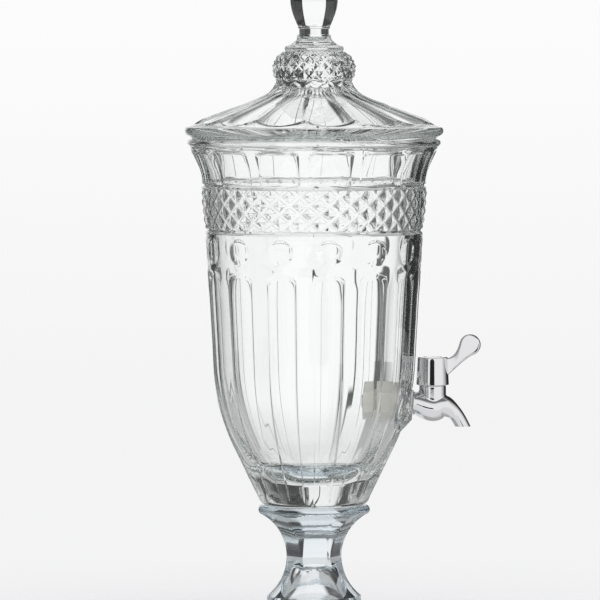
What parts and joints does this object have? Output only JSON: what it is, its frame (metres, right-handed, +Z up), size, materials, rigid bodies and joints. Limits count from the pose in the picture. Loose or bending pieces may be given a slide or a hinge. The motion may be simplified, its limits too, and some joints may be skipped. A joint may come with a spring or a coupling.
{
  "type": "glass juice dispenser",
  "caption": "Footed pressed-glass drink dispenser: fluted jar with a diamond-cut band, panelled lid with a drop knob, faceted stand and a plated lever tap.",
  "frame": {"origin": "centre of the foot's underside, on the surface that the stand rests on", "axes": "+Z up along the jar's axis, +X out along the tap's spout"},
  "size_m": [0.2074, 0.1812, 0.4767],
  "materials": {
    "clear_glass": "fire-polished clear pressed glass",
    "tinted_glass": "fire-polished pressed glass with a faint blue tint",
    "plated_metal": "bright plated casting",
    "screw_steel": "plain machined steel",
    "valve_plastic": "moulded",
    "seal_rubber": "moulded ring",
    "pale_silicone": "translucent sheet",
    "ivory_plastic": "moulded satin"
  },
  "bodies": {
    "stand": {"stand": "tinted_glass"},
    "jar": {"vessel": "clear_glass", "tap_body": "plated_metal", "plug_retainer": "screw_steel", "outer_washer": "pale_silicone", "inner_washer": "pale_silicone", "nut_washer": "ivory_plastic", "lock_nut": "ivory_plastic"},
    "lid": {"lid_cover": "clear_glass", "lid_knob": "clear_glass"},
    "tap_lever": {"tap_handle": "plated_metal", "valve_plug": "valve_plastic", "plug_ring_lower": "seal_rubber", "plug_ring_upper": "seal_rubber", "handle_screw": "screw_steel", "screw_cover": "plated_metal"}
  },
  "joints": [
    {"name": "jar_lift", "type": "slide", "parent": "stand", "child": "jar", "axis": [0, 0, 1], "range_m": [0, 0.12]},
    {"name": "lid_lift", "type": "slide", "parent": "jar", "child": "lid", "axis": [0, 0, 1], "range_m": [0, 0.12]},
    {"name": "tap_turn", "type": "hinge", "parent": "jar", "child": "tap_lever", "pos_m": [0.0832, 0, 0.17], "axis": [0, 0, 1], "range_deg": [-90, 90]}
  ]
}
